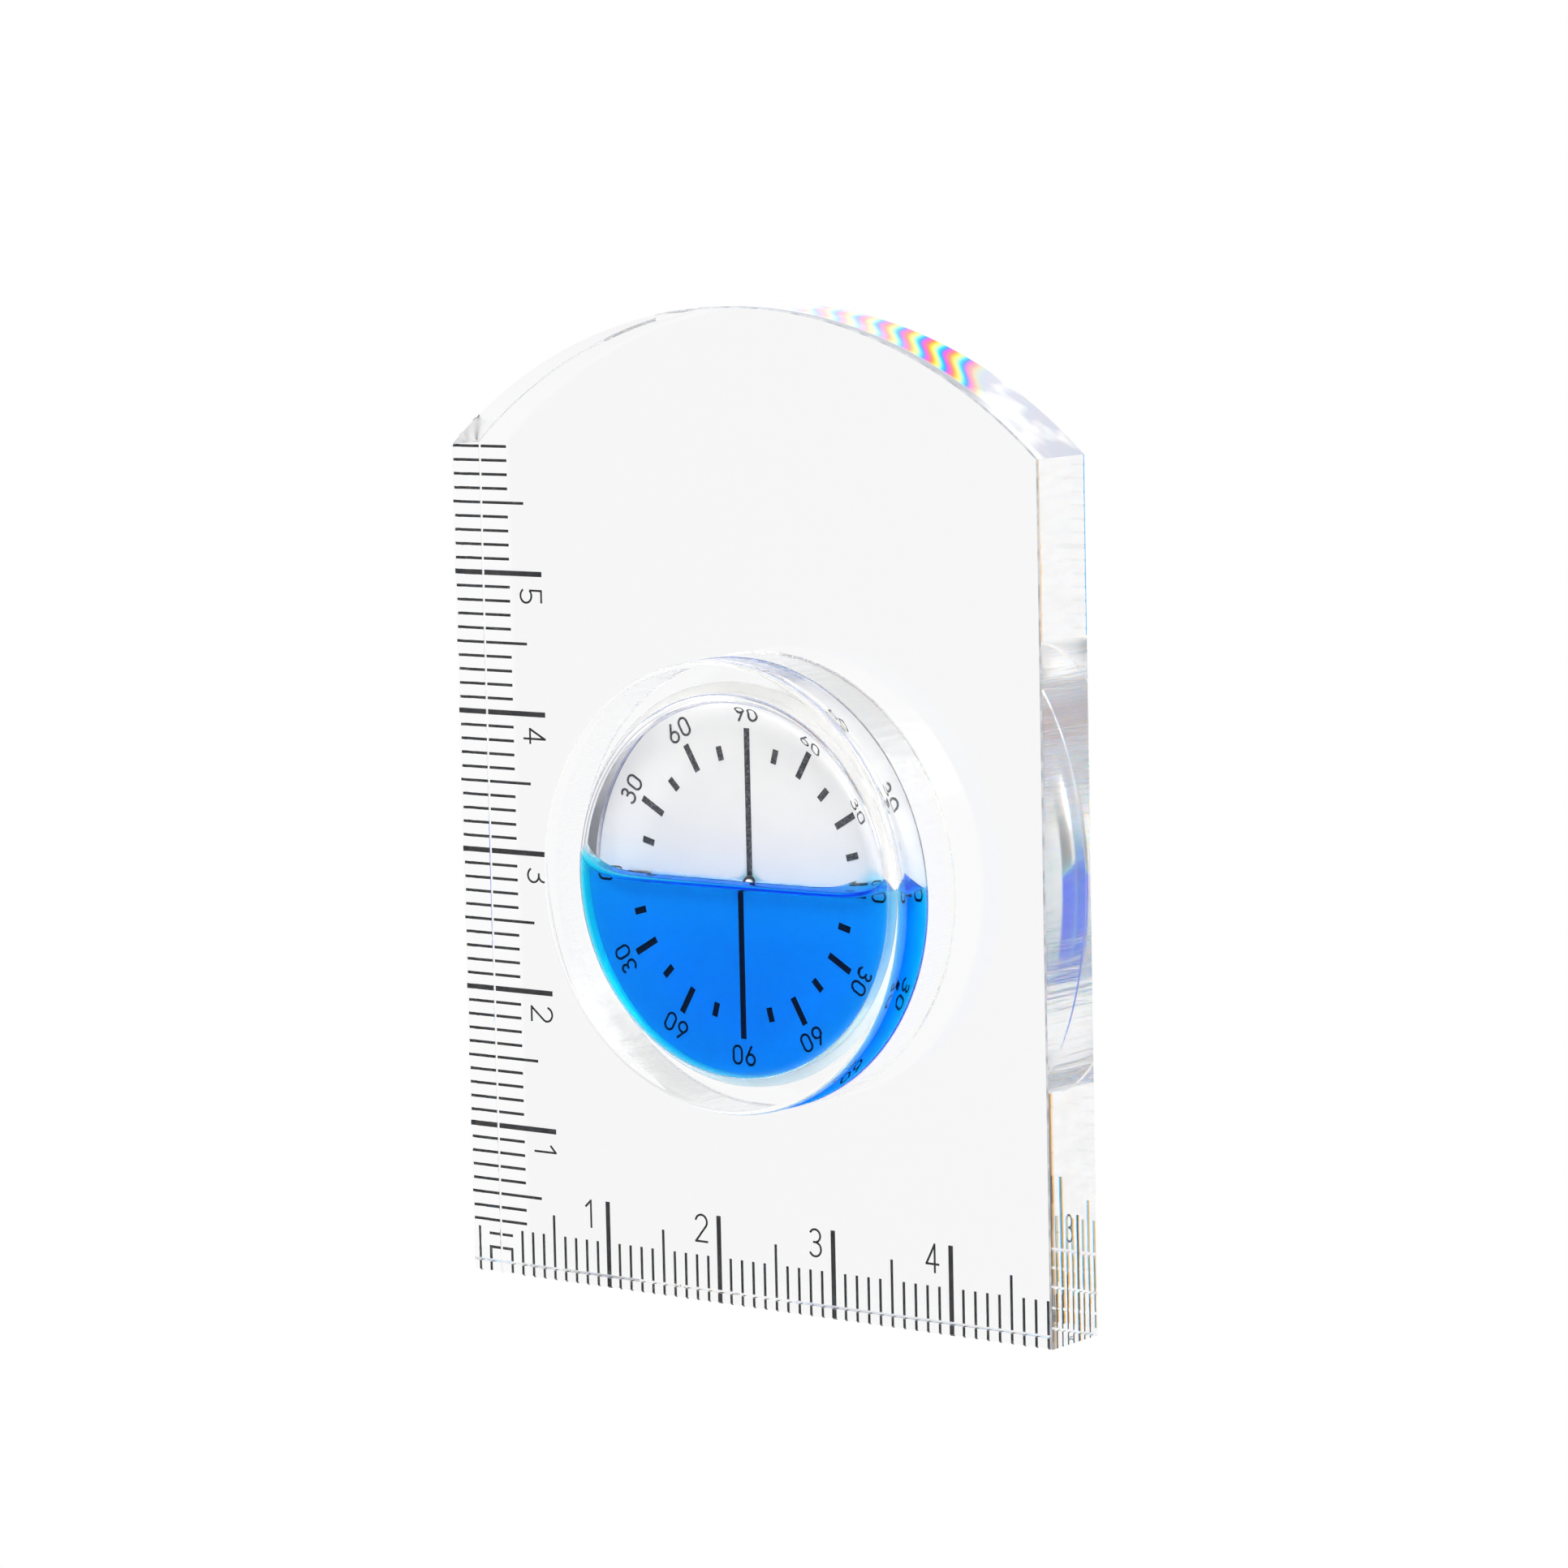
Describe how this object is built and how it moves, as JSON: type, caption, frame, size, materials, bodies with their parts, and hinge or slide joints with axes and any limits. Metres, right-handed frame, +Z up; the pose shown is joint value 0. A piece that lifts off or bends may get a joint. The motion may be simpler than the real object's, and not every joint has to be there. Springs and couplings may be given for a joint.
{
  "type": "circular bubble level",
  "caption": "Clear arched plate with printed edge scales and a round vial set into it, half filled with blue liquid that shows lean against a degree dial.",
  "frame": {"origin": "centre of the plate's base face, on which the level stands", "axes": "+Z up along the plate, +X to the right seen from the front, front face and vial window towards -Y"},
  "size_m": [0.0506, 0.0083, 0.0691],
  "materials": {
    "plate_acrylic": "polished clear acrylic",
    "vial_acrylic": "polished clear acrylic",
    "dial_white": "smooth white moulding",
    "cap_white": "satin white moulding",
    "plug_rubber": "smooth dark rubber",
    "blue_liquid": "clear blue dyed liquid",
    "scale_ink": "flat black print",
    "dial_ink": "flat black print"
  },
  "bodies": {
    "plate": {"plate": "plate_acrylic", "vial_cup": "vial_acrylic", "dial_plate": "dial_white", "rear_cap": "cap_white", "fill_plug": "plug_rubber", "left_scale_cm_marks": "scale_ink", "left_scale_half_marks": "scale_ink", "left_scale_mm_marks": "scale_ink", "left_scale_numerals": "scale_ink", "base_scale_cm_marks": "scale_ink", "base_scale_half_marks": "scale_ink", "base_scale_mm_marks": "scale_ink", "base_scale_numerals": "scale_ink", "dial_centre_line": "dial_ink", "dial_major_marks": "dial_ink", "dial_minor_marks": "dial_ink", "dial_numerals": "dial_ink"},
    "liquid": {"liquid": "blue_liquid"}
  },
  "joints": [
    {"name": "liquid_turn", "type": "hinge", "parent": "plate", "child": "liquid", "pos_m": [0, -0.00252, 0.0296], "axis": [0, 1, 0], "continuous": true}
  ]
}
